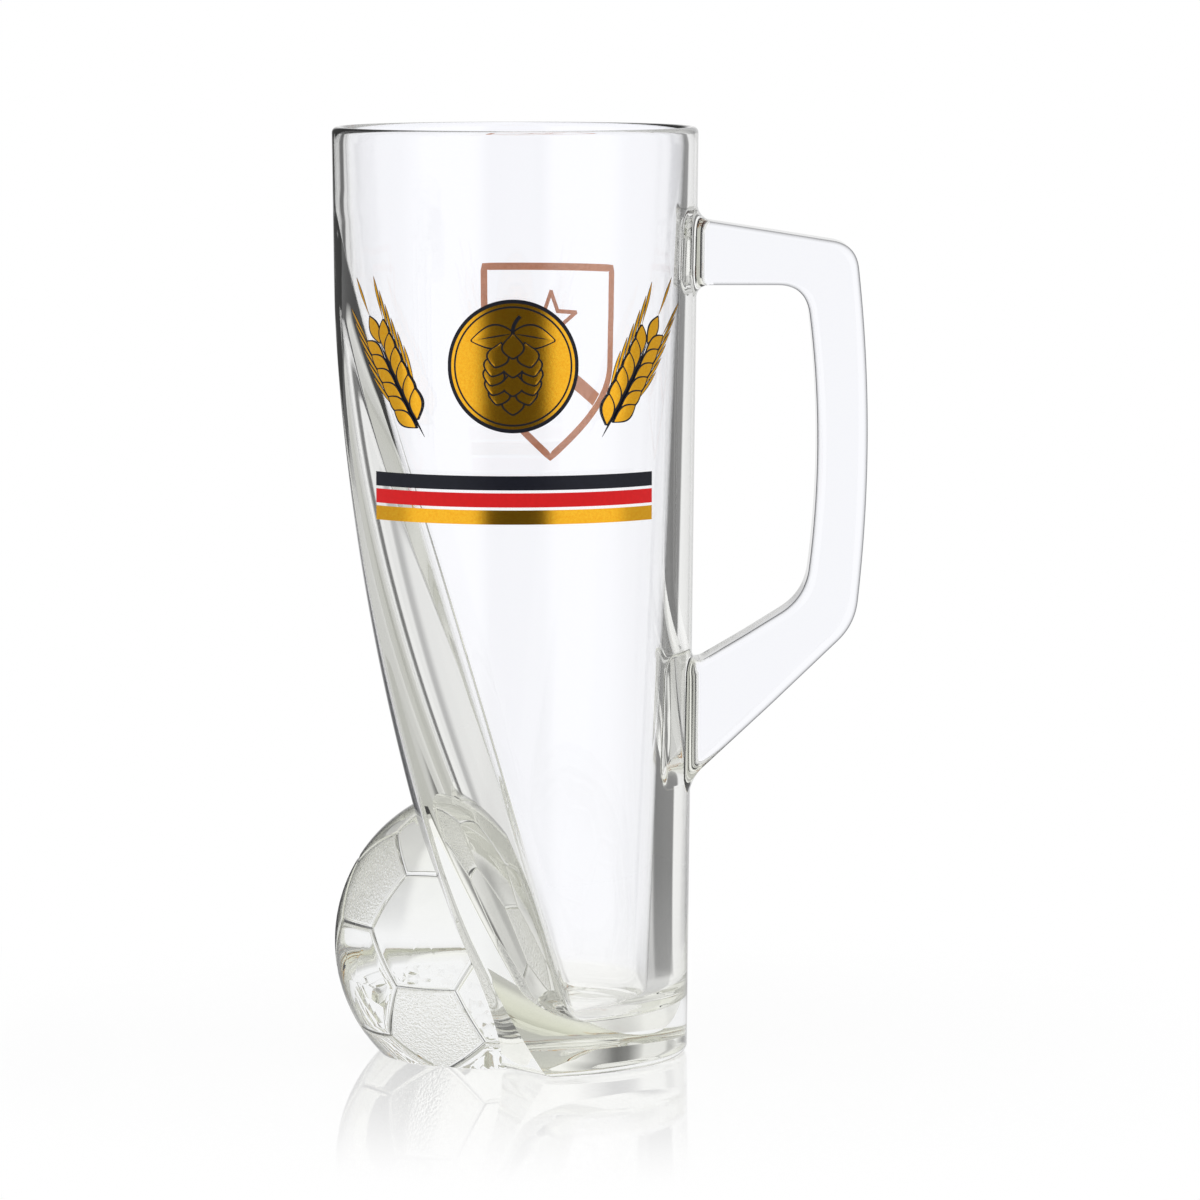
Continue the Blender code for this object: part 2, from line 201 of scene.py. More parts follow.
def ball_panels():
    """Corners of the panels on a unit sphere, the five-sided first: an icosahedron with each tip cut
    off at a third of its edges, so that tips leave pentagons and sides become hexagons. Its edges
    are 1.05 long, which tells a tip's neighbours from the others."""
    ring = np.arange(5) * 2 * np.pi / 5
    lift = 1 / np.sqrt(5)
    upper = np.stack([2 * lift * np.cos(ring), 2 * lift * np.sin(ring), np.full(5, lift)], 1)
    tips = np.concatenate([[[0, 0, 1]], upper, -upper, [[0, 0, -1]]])
    apart = np.linalg.norm(tips[:, None] - tips, axis=2)
    near = (apart > 0.1) & (apart < 1.1)
    askew = [0.3, 0.5, 0.8]
    panels = []
    for i in range(FIVE_SIDED):
        others = np.flatnonzero(near[i])
        side = np.cross(tips[i], askew)
        angle = np.arctan2(tips[others] @ np.cross(tips[i], side), tips[others] @ side)
        panels.append(tips[i] + (tips[others[np.argsort(angle)]] - tips[i]) / 3)
    for i in range(FIVE_SIDED):
        for j in range(i):
            for k in range(j):
                if near[i, j] and near[j, k] and near[i, k]:
                    a, b, c = tips[[i, j, k]]
                    if np.linalg.det([a, b, c]) < 0:
                        b, c = c, b
                    ends = np.array([[a, b], [b, a], [b, c], [c, b], [c, a], [a, c]])
                    panels.append(ends[:, 0] + (ends[:, 1] - ends[:, 0]) / 3)
    return panels


ball_turn = np.array([
    [np.cos(BALL_SPIN), -np.sin(BALL_SPIN), 0],
    [np.sin(BALL_SPIN), np.cos(BALL_SPIN), 0],
    [0, 0, 1],
])
ball_centre = np.array([AXIS_X + outer_keel(BALL_CENTRE_HEIGHT) + BALL_SINK, 0, BALL_CENTRE_HEIGHT])


def ball_surface():
    """Points and faces of the ball. A panel is a fan of grids, one for each side: a share s of the
    way from the middle to a point t along that side, put on the sphere, then sunk near the seam
    by the depth times the square of one less the distance to the seam over half the seam's width."""
    points, faces, count = [], [], 0
    t = np.linspace(0, 1, SIDE_STEPS)[:-1, None]
    for corners in ball_panels():
        middle = corners.mean(0)
        reach = np.linalg.norm((corners[0] + corners[1]) / 2 - middle) * BALL_RADIUS
        edge_share = SEAM_WIDTH / 2 / reach
        s = np.concatenate([
            np.linspace(0, 1 - edge_share, PANEL_STEPS)[1:-1],
            1 - edge_share * np.linspace(1, 0, SEAM_STEPS),
        ])
        side = corners[:, None] + (np.roll(corners, -1, 0) - corners)[:, None] * t
        side = side.reshape(-1, 3)
        fan = middle + s[:, None, None] * (side - middle)
        fan = np.concatenate([middle[None], fan.reshape(-1, 3)])
        sunk = np.clip(1 - (1 - s) / edge_share, 0, 1) ** 2
        sunk = np.concatenate([[0], np.repeat(sunk, len(side))])
        direction = fan / np.linalg.norm(fan, axis=1)[:, None] @ ball_turn.T
        points.append(ball_centre + direction * (BALL_RADIUS - SEAM_DEPTH * sunk)[:, None])
        grid = 1 + np.arange(len(s) * len(side)).reshape(len(s), len(side))
        beside = np.roll(grid, -1, 1)
        quads = np.stack([grid[:-1], grid[1:], beside[1:], beside[:-1]], -1).reshape(-1, 4) + count
        tips = np.stack([np.zeros(len(side), int), grid[0], beside[0]], -1) + count
        faces += quads.tolist() + tips.tolist()
        count += len(fan)
    return np.concatenate(points), faces


ball_points, ball_faces = ball_surface()
ball_mesh = bpy.data.meshes.new("ball")
ball_mesh.from_pydata(ball_points.tolist(), [], ball_faces)
ball_skin = bmesh.new()
ball_skin.from_mesh(ball_mesh)
bmesh.ops.remove_doubles(ball_skin, verts=ball_skin.verts, dist=1e-6)
standing = bmesh.ops.bisect_plane(
    ball_skin,
    geom=ball_skin.verts[:] + ball_skin.edges[:] + ball_skin.faces[:],
    plane_co=(0, 0, BALL_FOOT_LIFT),
    plane_no=(0, 0, 1),
    clear_inner=True,
)
foot_edges = [edge for edge in standing["geom_cut"] if isinstance(edge, bmesh.types.BMEdge)]
bmesh.ops.edgeloop_fill(ball_skin, edges=foot_edges)
bmesh.ops.recalc_face_normals(ball_skin, faces=ball_skin.faces)
ball_skin.to_mesh(ball_mesh)
ball_skin.free()
ball = bpy.data.objects.new("ball", ball_mesh)
bpy.context.collection.objects.link(ball)

# Handle. Pressed in one with the wall on the other side from the football: an angular bow of
# rounded oblong section, with a slightly bowed grip and roots that flare onto the wall.
_, handle_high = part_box("handle")
HANDLE_REACH = handle_high[0] - AXIS_X
HANDLE_THICKNESS = 17 * MM
HANDLE_EDGE = 2.4 * MM
GRIP_WIDTH = 10.8 * MM
GRIP_BOW = 2.6 * MM
UPPER_ROOT_TOP = 180.4 * MM
UPPER_CORNER_TOP = 175 * MM
UPPER_ARM_UNDERSIDE = 166.3 * MM
LOWER_CORNER_INSIDE = 99.2 * MM
LOWER_CORNER_OUTSIDE = 93.4 * MM
LOWER_ROOT_TOP = 84.2 * MM
LOWER_ROOT_FOOT = 59.6 * MM
OUTER_CORNER_RADIUS = 5 * MM
INNER_CORNER_RADIUS = 6 * MM
ROOT_FILLET = 3 * MM
FILLET_END = np.radians(80)
ROOT_SUNK = 1.3 * MM
ROOT_STEPS = 24
ARM_STEPS = 16
CORNER_STEPS = 14
GRIP_STEPS = 40
EDGE_STEPS = 9
FLAT_STEPS = 8


def handle_edge(upper_root, upper_corner, lower_corner, lower_root, corner_radius):
    """One edge of the handle in side view, as rows of x from the axis, z and distance from the wall:
    two straight arms, a grip bowed to a parabola, and corners rounded as parabolas."""
    upper_corner, lower_corner = np.array(upper_corner), np.array(lower_corner)
    share = corner_radius / np.linalg.norm(upper_corner - lower_corner)

    def grip(t):
        bow = np.stack([4 * GRIP_BOW * t * (1 - t), 0 * t], -1)
        return upper_corner + t[:, None] * (lower_corner - upper_corner) + bow

    def arm(root_height, corner):
        root = np.array([outer_radius(root_height), root_height])
        run = corner - root
        end = corner - run * corner_radius / np.linalg.norm(run)
        near = ROOT_FILLET * (1 - np.sin(np.linspace(FILLET_END, 0, ROOT_STEPS)))
        far = np.linspace(ROOT_FILLET, end[0] - root[0], ARM_STEPS)[1:]
        distance = np.concatenate([[-ROOT_SUNK], near, far])
        return np.column_stack([root + distance[:, None] * run / run[0], distance])

    def corner_round(start, corner, end):
        t = np.linspace(0, 1, CORNER_STEPS)[1:-1, None]
        curve = (1 - t) ** 2 * start + 2 * t * (1 - t) * corner + t**2 * end
        return np.column_stack([curve, np.full(len(t), np.inf)])

    upper_arm, lower_arm = arm(upper_root, upper_corner), arm(lower_root, lower_corner)[::-1]
    run = grip(np.linspace(share, 1 - share, GRIP_STEPS))
    return np.concatenate([
        upper_arm,
        corner_round(upper_arm[-1, :2], upper_corner, run[0]),
        np.column_stack([run, np.full(len(run), np.inf)]),
        corner_round(run[-1], lower_corner, lower_arm[0, :2]),
        lower_arm,
    ])


def handle_rings():
    """Rounded oblongs carried along the handle between its two edges. Near a root they grow all
    round by a fillet's quarter circle and lean back, so that they follow the round of the wall."""
    reach = HANDLE_REACH - GRIP_BOW
    outside = handle_edge(
        UPPER_ROOT_TOP, (reach, UPPER_CORNER_TOP), (reach, LOWER_CORNER_OUTSIDE),
        LOWER_ROOT_FOOT, OUTER_CORNER_RADIUS,
    )
    inside = handle_edge(
        UPPER_ARM_UNDERSIDE, (reach - GRIP_WIDTH, UPPER_ARM_UNDERSIDE),
        (reach - GRIP_WIDTH, LOWER_CORNER_INSIDE), LOWER_ROOT_TOP, INNER_CORNER_RADIUS,
    )
    distance = outside[:, 2:]
    left = np.clip(ROOT_FILLET - distance, 0, ROOT_FILLET * np.sin(FILLET_END))
    edge = HANDLE_EDGE + arc_inset(left, ROOT_FILLET)
    across = (outside - inside)[:, None, :2]
    span = np.linalg.norm(across, axis=2)
    half_height = span / 2 - HANDLE_EDGE
    half_width = np.full_like(span, HANDLE_THICKNESS / 2 - HANDLE_EDGE)
    corners = []
    for quarter, (sign_width, sign_height) in enumerate(((1, 1), (-1, 1), (-1, -1), (1, -1))):
        turn = (quarter + np.linspace(0, 1, EDGE_STEPS)) * np.pi / 2
        width = sign_width * half_width + edge * np.cos(turn)
        height = sign_height * half_height + edge * np.sin(turn)
        corners.append(np.stack([width, height], -1))
    flat = np.linspace(0, 1, FLAT_STEPS)[1:-1, None]
    run = []
    for corner, following in zip(corners, corners[1:] + corners[:1]):
        run += [corner, corner[:, -1:] + flat * (following[:, :1] - corner[:, -1:])]
    width, height = np.moveaxis(np.concatenate(run, 1), -1, 0)
    point = (outside + inside)[:, None, :2] / 2 + across / span[..., None] * height[..., None]
    wrap = np.clip(1 - distance / HANDLE_THICKNESS, 0, 1 + ROOT_SUNK / HANDLE_THICKNESS)
    bend = arc_inset(width, outer_radius(point[..., 1]))
    return np.stack([AXIS_X + point[..., 0] - wrap * bend, width, point[..., 1]], -1)


handle = ring_skin("handle", handle_rings())

# The glass. Vessel, football and handle leave the mould as one piece, so their skins are joined
# to one body, and light passes from one into the other with no face between them.
SHARP_ANGLE = np.radians(32)
CUTTER_OVERRUN = 20 * MM
CUTTER_CREASE = 3 * MM
GLASS_IOR = 1.52
SATIN_ROUGHNESS = 0.1
PEBBLE_SIZE = 0.6 * MM
PEBBLE_RELIEF = 0.25 * MM
# Painted shade: between these Facing values the glass colour is painted darker at grazing angles, on plain
# faces and on marked ones.
PLAIN_PAINTED_SHADE_FACING = 0.76, 0.94
MARKED_PAINTED_SHADE_FACING = 0.2, 0.75
# How much sooner the painted grazing shade comes on a seam, the rim and the ball: painted dark seam lines,
# a painted dark rim line and painted shading over the ball.
SEAM_SHADE_MARK, RIM_SHADE_MARK, BALL_SHADE_MARK = 1.45, 0.4, 0.25
STRAY_REFLECTIONS = 4.5
TINT_DENSITY = 3.0


def join(piece, other, operation):
    """Joins or cuts a closed piece with another and removes that other one."""
    change = piece.modifiers.new(operation.lower(), "BOOLEAN")
    change.operation = operation
    change.object = other
    change.solver = "MANIFOLD"
    mesh = bpy.data.meshes.new_from_object(piece.evaluated_get(bpy.context.evaluated_depsgraph_get()))
    piece.modifiers.clear()
    piece.data = mesh
    bpy.data.objects.remove(other)


levels = np.linspace(-CUTTER_OVERRUN, MUG_HEIGHT + CUTTER_OVERRUN, WALL_LEVELS)
wall_middle = plan_rings(
    levels,
    (outer_radius(levels) + cavity_radius(levels)) / 2,
    (outer_keel(levels) + cavity_keel(levels)) / 2,
    FACE_CROWN,
    CUTTER_CREASE,
    0.0,
)
join(ball, ring_skin("wall_middle", wall_middle[:, ::-1]), "DIFFERENCE")
join(glass_skin, ball, "UNION")
join(glass_skin, handle, "UNION")
glass_skin.data.shade_smooth()
glass_skin.data.set_sharp_from_angle(angle=SHARP_ANGLE)


def linear(hex_colour):
    """An sRGB hex colour as linear red, green, blue and alpha."""
    srgb = np.array([int(hex_colour[i : i + 2], 16) for i in (1, 3, 5)]) / 255
    rgb = np.where(srgb <= 0.04045, srgb / 12.92, ((srgb + 0.055) / 1.055) ** 2.4)
    return (*rgb.tolist(), 1.0)


WHITE = linear("#FFFFFF")


def add_node(tree, kind, inputs, **settings):
    """Adds a node. Each input is given a value, or another node's output to be linked to."""
    node = tree.nodes.new(kind)
    for name, value in settings.items():
        setattr(node, name, value)
    for socket, value in inputs.items():
        if isinstance(value, bpy.types.NodeSocket):
            tree.links.new(value, node.inputs[socket])
        else:
            node.inputs[socket].default_value = value
    return node


def new_material(name):
    """A material with an empty node tree, and that tree."""
    material = bpy.data.materials.new(name)
    material.use_nodes = True
    material.node_tree.nodes.clear()
    return material, material.node_tree


def soda_lime_glass():
    """Pressed soda-lime glass: clear, fire-polished, with an olive tinge where it is thick. At grazing
    angles its colour is painted dark, a painted shade that stands in for the dark refractions glass
    shows before a bright wall: sooner by as much as the attribute edge marks a tight round, a seam,
    the rim or the ball, and not where shaved marks the long face in the cavity, nor on a face seen
    from within. The attribute stipple marks the panels that the mould leaves pebbled and satin. A ray
    that was mirrored too often, or goes to a light, passes straight on."""
    material, tree = new_material("pressed soda-lime glass")
    edge = add_node(tree, "ShaderNodeAttribute", {}, attribute_name="edge")
    start, end = (
        add_node(tree, "ShaderNodeMix", {0: edge.outputs["Fac"], 2: plain, 3: marked}, clamp_factor=False)
        for plain, marked in zip(PLAIN_PAINTED_SHADE_FACING, MARKED_PAINTED_SHADE_FACING)
    )
    grazing = add_node(tree, "ShaderNodeLayerWeight", {"Blend": 0.5})
    shade = add_node(tree, "ShaderNodeMapRange", {
        "Value": grazing.outputs["Facing"], 1: start.outputs[0], 2: end.outputs[0],
    }, interpolation_type="SMOOTHSTEP")
    shaved = add_node(tree, "ShaderNodeAttribute", {}, attribute_name="shaved")
    side = add_node(tree, "ShaderNodeNewGeometry", {})
    spared = add_node(tree, "ShaderNodeMath", {
        0: shaved.outputs["Fac"], 1: side.outputs["Backfacing"],
    }, operation="MAXIMUM")
    darkness = add_node(tree, "ShaderNodeMath", {
        0: shade.outputs[0], 1: spared.outputs[0],
    }, operation="SUBTRACT", use_clamp=True)
    # Painted shade: the glass colour turns from white towards #2E2E32 as the grazing shade above grows.
    colour = add_node(tree, "ShaderNodeMix", {
        0: darkness.outputs[0], 6: WHITE, 7: linear("#2E2E32"),
    }, data_type="RGBA")
    clear = {"Base Color": colour.outputs[2], "IOR": GLASS_IOR, "Transmission Weight": 1.0}
    polished = add_node(tree, "ShaderNodeBsdfPrincipled", {**clear, "Roughness": 0.0})
    place = add_node(tree, "ShaderNodeTexCoord", {})
    pebble = add_node(tree, "ShaderNodeTexVoronoi", {
        "Vector": place.outputs["Object"], "Scale": 1 / PEBBLE_SIZE,
    }, feature="F1")
    relief = add_node(tree, "ShaderNodeBump", {
        "Height": pebble.outputs["Distance"], "Strength": 1.0, "Distance": PEBBLE_RELIEF,
    }, invert=True)
    satin = add_node(tree, "ShaderNodeBsdfPrincipled", {
        **clear, "Roughness": SATIN_ROUGHNESS, "Normal": relief.outputs["Normal"],
    })
    stipple = add_node(tree, "ShaderNodeAttribute", {}, attribute_name="stipple")
    skin = add_node(tree, "ShaderNodeMixShader", {
        0: stipple.outputs["Fac"], 1: polished.outputs[0], 2: satin.outputs[0],
    })
    passing = add_node(tree, "ShaderNodeBsdfTransparent", {"Color": linear("#F9F9F9")})
    path = add_node(tree, "ShaderNodeLightPath", {})
    stray = add_node(tree, "ShaderNodeMath", {
        0: path.outputs["Glossy Depth"], 1: STRAY_REFLECTIONS,
    }, operation="GREATER_THAN")
    freed = add_node(tree, "ShaderNodeMath", {
        0: path.outputs["Is Shadow Ray"], 1: stray.outputs[0],
    }, operation="MAXIMUM")
    mixed = add_node(tree, "ShaderNodeMixShader", {
        0: freed.outputs[0], 1: skin.outputs[0], 2: passing.outputs[0],
    })
    tint = add_node(tree, "ShaderNodeVolumeAbsorption", {
        "Color": linear("#CBCEA2"), "Density": TINT_DENSITY,
    })
    add_node(tree, "ShaderNodeOutputMaterial", {"Surface": mixed.outputs[0], "Volume": tint.outputs[0]})
    return material


def face_vectors(mesh, name):
    """One vector for each face, such as its centre or its normal."""
    values = np.empty(3 * len(mesh.polygons))
    mesh.polygons.foreach_get(name, values)
    return values.reshape(-1, 3)


def ball_rays(mesh):
    """For each face, the direction to it from the ball's centre in the ball's own turn, how deep it
    lies under the sphere in depths of a seam, and the cosine of its normal to that direction."""
    ray = (face_vectors(mesh, "center") - ball_centre) @ ball_turn
    length = np.linalg.norm(ray, axis=1)
    direction = ray / length[:, None]
    facing = (face_vectors(mesh, "normal") @ ball_turn * direction).sum(1)
    return direction, (BALL_RADIUS - length) / SEAM_DEPTH, facing


def ball_skin_faces(mesh):
    """Which faces lie on the ball: within a seam's depth of the sphere, and turned outwards."""
    _, sunk, facing = ball_rays(mesh)
    return (np.abs(sunk) < 1) & (facing > 0.5)


def seam_faces(mesh):
    """Which faces lie in the bottom of a seam: sunk by near half its depth or more."""
    _, sunk, facing = ball_rays(mesh)
    return (sunk > 0.45) & (sunk < 1.1) & (facing > 0.5)


def stippled_faces(mesh):
    """Which faces lie on a five-sided panel, clear of its seams and sides: of all panels, the one whose
    plane a ray from the ball's centre meets first has the greatest share of its distance along it."""
    direction, sunk, facing = ball_rays(mesh)
    middles = np.array([corners.mean(0) for corners in ball_panels()])
    share = direction @ (middles / (middles**2).sum(1)[:, None]).T
    first, second = np.sort(share, 1)[:, :-3:-1].T
    five_sided = (share.argmax(1) < FIVE_SIDED) & (first - second > 0.03)
    return (np.abs(sunk) < 1) & (facing > 0.9) & five_sided


def rounded_edge_faces(mesh):
    """Which faces lie on the handle's long rounded edges: clear of the roots, and turned neither
    square to the handle's sides nor square to its outline."""
    x, _, z = face_vectors(mesh, "center").T
    turn = np.abs(face_vectors(mesh, "normal")[:, 1])
    return (x - AXIS_X - outer_radius(z) > ROOT_FILLET) & (turn > 0.05) & (turn < 0.98)


def rim_faces(mesh):
    """Which faces lie on the round of the rim."""
    return face_vectors(mesh, "center")[:, 2] > MUG_HEIGHT - RIM_WALL / 2


def shaved_cavity_faces(mesh):
    """Which faces lie on the cavity's shaved side: nearer to the axis than its round wall, and
    turned to the axis."""
    x, y, z = face_vectors(mesh, "center").T
    normal_x, normal_y, _ = face_vectors(mesh, "normal").T
    within = np.hypot(x - AXIS_X, y) < cavity_radius(z) - RIM_WALL / 10
    return within & ((x - AXIS_X) * normal_x + y * normal_y < 0)


# The attribute edge brings the painted grazing shade on sooner: most on the seams, fully on the handle's
# rounded edges, less on the rim and least on the ball; shaved spares the cavity's long face.
glass_mesh = glass_skin.data
for name, marked in (
    ("stipple", stippled_faces(glass_mesh)),
    ("edge", np.max([
        rounded_edge_faces(glass_mesh),
        SEAM_SHADE_MARK * seam_faces(glass_mesh),
        RIM_SHADE_MARK * rim_faces(glass_mesh),
        BALL_SHADE_MARK * ball_skin_faces(glass_mesh),
    ], 0)),
    ("shaved", shaved_cavity_faces(glass_mesh)),
):
    marks = glass_mesh.attributes.new(name, "FLOAT", "FACE")
    marks.data.foreach_set("value", marked.astype(np.float32))
glass_mesh.materials.clear()
glass_mesh.materials.append(soda_lime_glass())
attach(glass_skin, "root")
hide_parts("vessel", "ball", "handle")

# Medallion. Burnished gold and blue-black ceramic ink, screened onto the front of the wall and
# fired until they fuse with the glass: a round field with a hop cone between two leaves.
MEDALLION_RADIUS = 14 * MM
MEDALLION_HEIGHT = 151 * MM
MEDALLION_BORDER = 0.8 * MM
HOP_HEIGHT = 17 * MM
HOP_WIDTH = 10.4 * MM
HOP_DROP = 1.6 * MM
HOP_ROWS = (1, 2, 3, 2, 3, 2, 1)
SCALE_LENGTH = 5.2 * MM
SCALE_WIDTH = 4.2 * MM
SCALE_BULGE = 0.8
HOP_LEAF_LENGTH = 9 * MM
HOP_LEAF_WIDTH = 4.6 * MM
HOP_LEAF_BULGE = 1.2
HOP_LEAF_TURN = np.radians(100)
HOP_LEAF_RIB = 7.65 * MM
STEM_REACH = (1.5 * MM, 3.6 * MM)
STEM_BOW = 2 * MM
INK_LINE = 0.38 * MM
INK_LAYER = 0.02 * MM
GOLD_DOME = 0.03 * MM
FILM_RELIEF = 0.02 * MM
FRONT, REAR = -1, 1
ACROSS_STEPS = 7
DISC_STEPS = 49
CIRCLE_STEPS = 96
PETAL_STEPS = 15
STEM_STEPS = 9


def on_wall(flat, lift, side):
    """Points on the outside of the wall. The distance along it is an arc: over the radius there it
    is an angle, whose sine and cosine give the place, pushed out by lift."""
    along, height = flat[..., 0], flat[..., 1]
    radius = outer_radius(height)
    angle = along / radius
    return np.stack([
        AXIS_X + (radius + lift) * np.sin(angle), side * (radius + lift) * np.cos(angle), height,
    ], -1)


def ribbons(path, half_width, closed=False):
    """Grids (count, steps, across, 2) over ribbons: each point of a path (count, steps, 2) is pushed
    to both sides along the normal by shares from -1 to 1 of the half width."""
    if closed:
        run = np.roll(path, -1, -2) - np.roll(path, 1, -2)
    else:
        run = np.gradient(path, axis=-2)
    normal = np.stack([-run[..., 1], run[..., 0]], -1) / np.linalg.norm(run, axis=-1, keepdims=True)
    share = np.linspace(-1, 1, ACROSS_STEPS)[:, None]
    width = np.broadcast_to(half_width, path.shape[:-1])
    return path[..., None, :] + share * (width[..., None] * normal)[..., None, :]


def ink_layer(flat, layer, dome=0.0, closed=False, ink=0, side=FRONT):
    """Closed slabs over grids (count, steps, across, 2). The top lies one thickness of ink and one
    more for each layer under it above the glass, arched by a dome times one less the square of the
    share across. The underside lies as far within it, so the print looks the same from behind."""
    count, steps, across, _ = flat.shape
    arch = dome * (1 - np.linspace(-1, 1, across) ** 2)
    top = on_wall(flat, (layer + 1) * INK_LAYER + arch, side)
    bottom = on_wall(flat, -(layer + 1) * INK_LAYER, side)
    points = np.stack([bottom, top], -2).reshape(-1, 3)
    index = np.arange(len(points)).reshape(count, steps, across, 2)
    if closed:
        index = np.concatenate([index, index[:, :1]], 1)

    def quads(grid):
        corners = [grid[:, :-1, :-1], grid[:, 1:, :-1], grid[:, 1:, 1:], grid[:, :-1, 1:]]
        return np.stack(corners, -1).reshape(-1, 4)

    skins = [index[..., 1], index[..., ::-1, 0], index[:, :, 0, ::-1], index[:, :, -1]]
    if not closed:
        skins += [index[:, 0], index[:, -1, :, ::-1]]
    return points, np.concatenate([quads(skin) for skin in skins]), ink


def ink_print(name, layers, *materials):
    """One object of all the layers of a print, with their inks as its materials' numbers."""
    sizes = [len(points) for points, _, _ in layers]
    starts = np.concatenate([[0], np.cumsum(sizes)[:-1]])
    points = np.concatenate([points for points, _, _ in layers])
    faces = np.concatenate([faces + start for (_, faces, _), start in zip(layers, starts)])
    inks = np.concatenate([np.full(len(faces), ink, np.int32) for _, faces, ink in layers])
    mesh = bpy.data.meshes.new(name)
    mesh.from_pydata(points.tolist(), [], faces.tolist())
    mesh.polygons.foreach_set("material_index", inks)
    film = bmesh.new()
    film.from_mesh(mesh)
    bmesh.ops.recalc_face_normals(film, faces=film.faces)
    film.to_mesh(mesh)
    film.free()
    mesh.shade_smooth()
    mesh.set_sharp_from_angle(angle=SHARP_ANGLE)
    for material in materials:
        mesh.materials.append(material)
    piece = bpy.data.objects.new(name, mesh)
    bpy.context.collection.objects.link(piece)
    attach(piece, "root")
    return piece


def disc(centre, radius):
    """A disc as one ribbon: across at each step is the chord, the sine of the turn times the radius.
    It ends just short of half a turn, where the chord would be nothing."""
    turn = np.linspace(0.02, 0.98, DISC_STEPS) * np.pi
    path = np.array(centre) + radius * np.stack([-np.cos(turn), 0 * turn], -1)
    return ribbons(path[None], radius * np.sin(turn))


def circle(centre, radius, line):
    """A closed line of even width round a centre."""
    turn = np.linspace(0, 2 * np.pi, CIRCLE_STEPS, endpoint=False)
    path = np.array(centre) + radius * np.stack([np.cos(turn), np.sin(turn)], -1)
    return ribbons(path[None], line / 2, closed=True)


def petals(base, direction, length, width, bulge=1.0, margin=0.0):
    """Pointed leaves from base points (count, 2) along unit directions: the half width is the sine
    of half a turn over the length, which a bulge above 1 makes blunter at the base. They stop just
    short of both points, where the width would be nothing."""
    t = np.linspace(0.03, 0.97, PETAL_STEPS)
    base, direction = np.atleast_2d(base), np.atleast_2d(direction)
    run = -margin + t * (length + 2 * margin)
    path = base[:, None] + direction[:, None] * run[:, None]
    return ribbons(path, (width / 2 + margin) * np.sin(np.pi * t ** (1 / bulge)))


def heading(angle):
    """Unit vectors at angles counted from straight up, to the right."""
    return np.stack([np.sin(angle), np.cos(angle)], -1)


def fired_film(name, dark, light, grain, detail, relief, finish):
    """A film that was screened on and fired. The mesh of the screen leaves it a grain, over which it
    wavers between two tones and rises a little. Fine screens show no grain at this distance, so it
    is drawn some times coarser than a real one."""
    material, tree = new_material(name)
    place = add_node(tree, "ShaderNodeTexCoord", {})
    mottle = add_node(tree, "ShaderNodeTexNoise", {
        "Vector": place.outputs["Object"], "Scale": 1 / grain, "Detail": detail,
    })
    colour = add_node(tree, "ShaderNodeMix", {
        0: mottle.outputs[0], 6: linear(dark), 7: linear(light),
    }, data_type="RGBA")
    bumps = add_node(tree, "ShaderNodeBump", {
        "Height": mottle.outputs[0], "Strength": relief, "Distance": FILM_RELIEF,
    })
    film = add_node(tree, "ShaderNodeBsdfPrincipled", {
        "Base Color": colour.outputs[2], "Normal": bumps.outputs["Normal"], **finish,
    })
    add_node(tree, "ShaderNodeOutputMaterial", {"Surface": film.outputs[0]})
    return material


# Gold lustre is burnished after firing, to a mirror-like metal with a fine orange-brown grain.
# Ceramic ink is opaque and satin, with a faint mottle.
BURNISHED = {"Metallic": 1.0, "Roughness": 0.18}
SATIN_BLACK = {"Roughness": 0.4, "Specular IOR Level": 0.2}
gold = fired_film("burnished gold lustre", "#F0A01A", "#FFCB3E", 0.5 * MM, 3.0, 0.25, BURNISHED)
ink_black = fired_film("blue-black ceramic ink", "#12131C", "#1C1E2A", 0.8 * MM, 2.0, 0.2, SATIN_BLACK)


def inked_gold(base, direction, length, width, bulge, layer):
    """Gold petals with an ink line round them, as two layers. The ink is arched as the gold is, so
    that it also covers the petals beneath it."""
    line = petals(base, direction, length, width, bulge, INK_LINE)
    fill = petals(base, direction, length, width, bulge)
    return [ink_layer(line, layer, GOLD_DOME, ink=1), ink_layer(fill, layer + 1, GOLD_DOME)]


def hop_row(row):
    """Feet and directions of the scales in one row of the hop cone. The rows spread as a sine to the
    power 0.7 over most of half a turn, and a scale leans out with its distance from the middle."""
    count = HOP_ROWS[row]
    share = row / (len(HOP_ROWS) - 1)
    spread = (HOP_WIDTH - SCALE_WIDTH) / 2 * np.sin(np.pi * (0.12 + 0.8 * share)) ** 0.7
    across = spread * (np.linspace(-1, 1, count) if count > 1 else np.zeros(1))
    drop = (HOP_HEIGHT - SCALE_LENGTH) * share
    return cone_top + np.stack([across, np.full(count, -drop)], -1), heading(np.pi - across / HOP_WIDTH)


middle = np.array([0, MEDALLION_HEIGHT])
medallion_layers = [
    ink_layer(disc(middle, MEDALLION_RADIUS), 0, ink=1),
    ink_layer(disc(middle, MEDALLION_RADIUS - MEDALLION_BORDER), 1),
    ink_layer(circle(middle, MEDALLION_RADIUS - 2 * MEDALLION_BORDER, INK_LINE), 2, closed=True, ink=1),
]
cone_top = middle + [0, HOP_HEIGHT / 2 - HOP_DROP]
leaves = np.repeat(cone_top[None], 2, 0), heading(np.array([-HOP_LEAF_TURN, HOP_LEAF_TURN]))
medallion_layers += inked_gold(*leaves, HOP_LEAF_LENGTH, HOP_LEAF_WIDTH, HOP_LEAF_BULGE, 2)
medallion_layers.append(ink_layer(petals(*leaves, HOP_LEAF_RIB, INK_LINE), 4, GOLD_DOME, ink=1))
for row in range(len(HOP_ROWS) - 1, -1, -1):
    layer = 4 + 3 * (len(HOP_ROWS) - row)
    medallion_layers += inked_gold(*hop_row(row), SCALE_LENGTH, SCALE_WIDTH, SCALE_BULGE, layer)
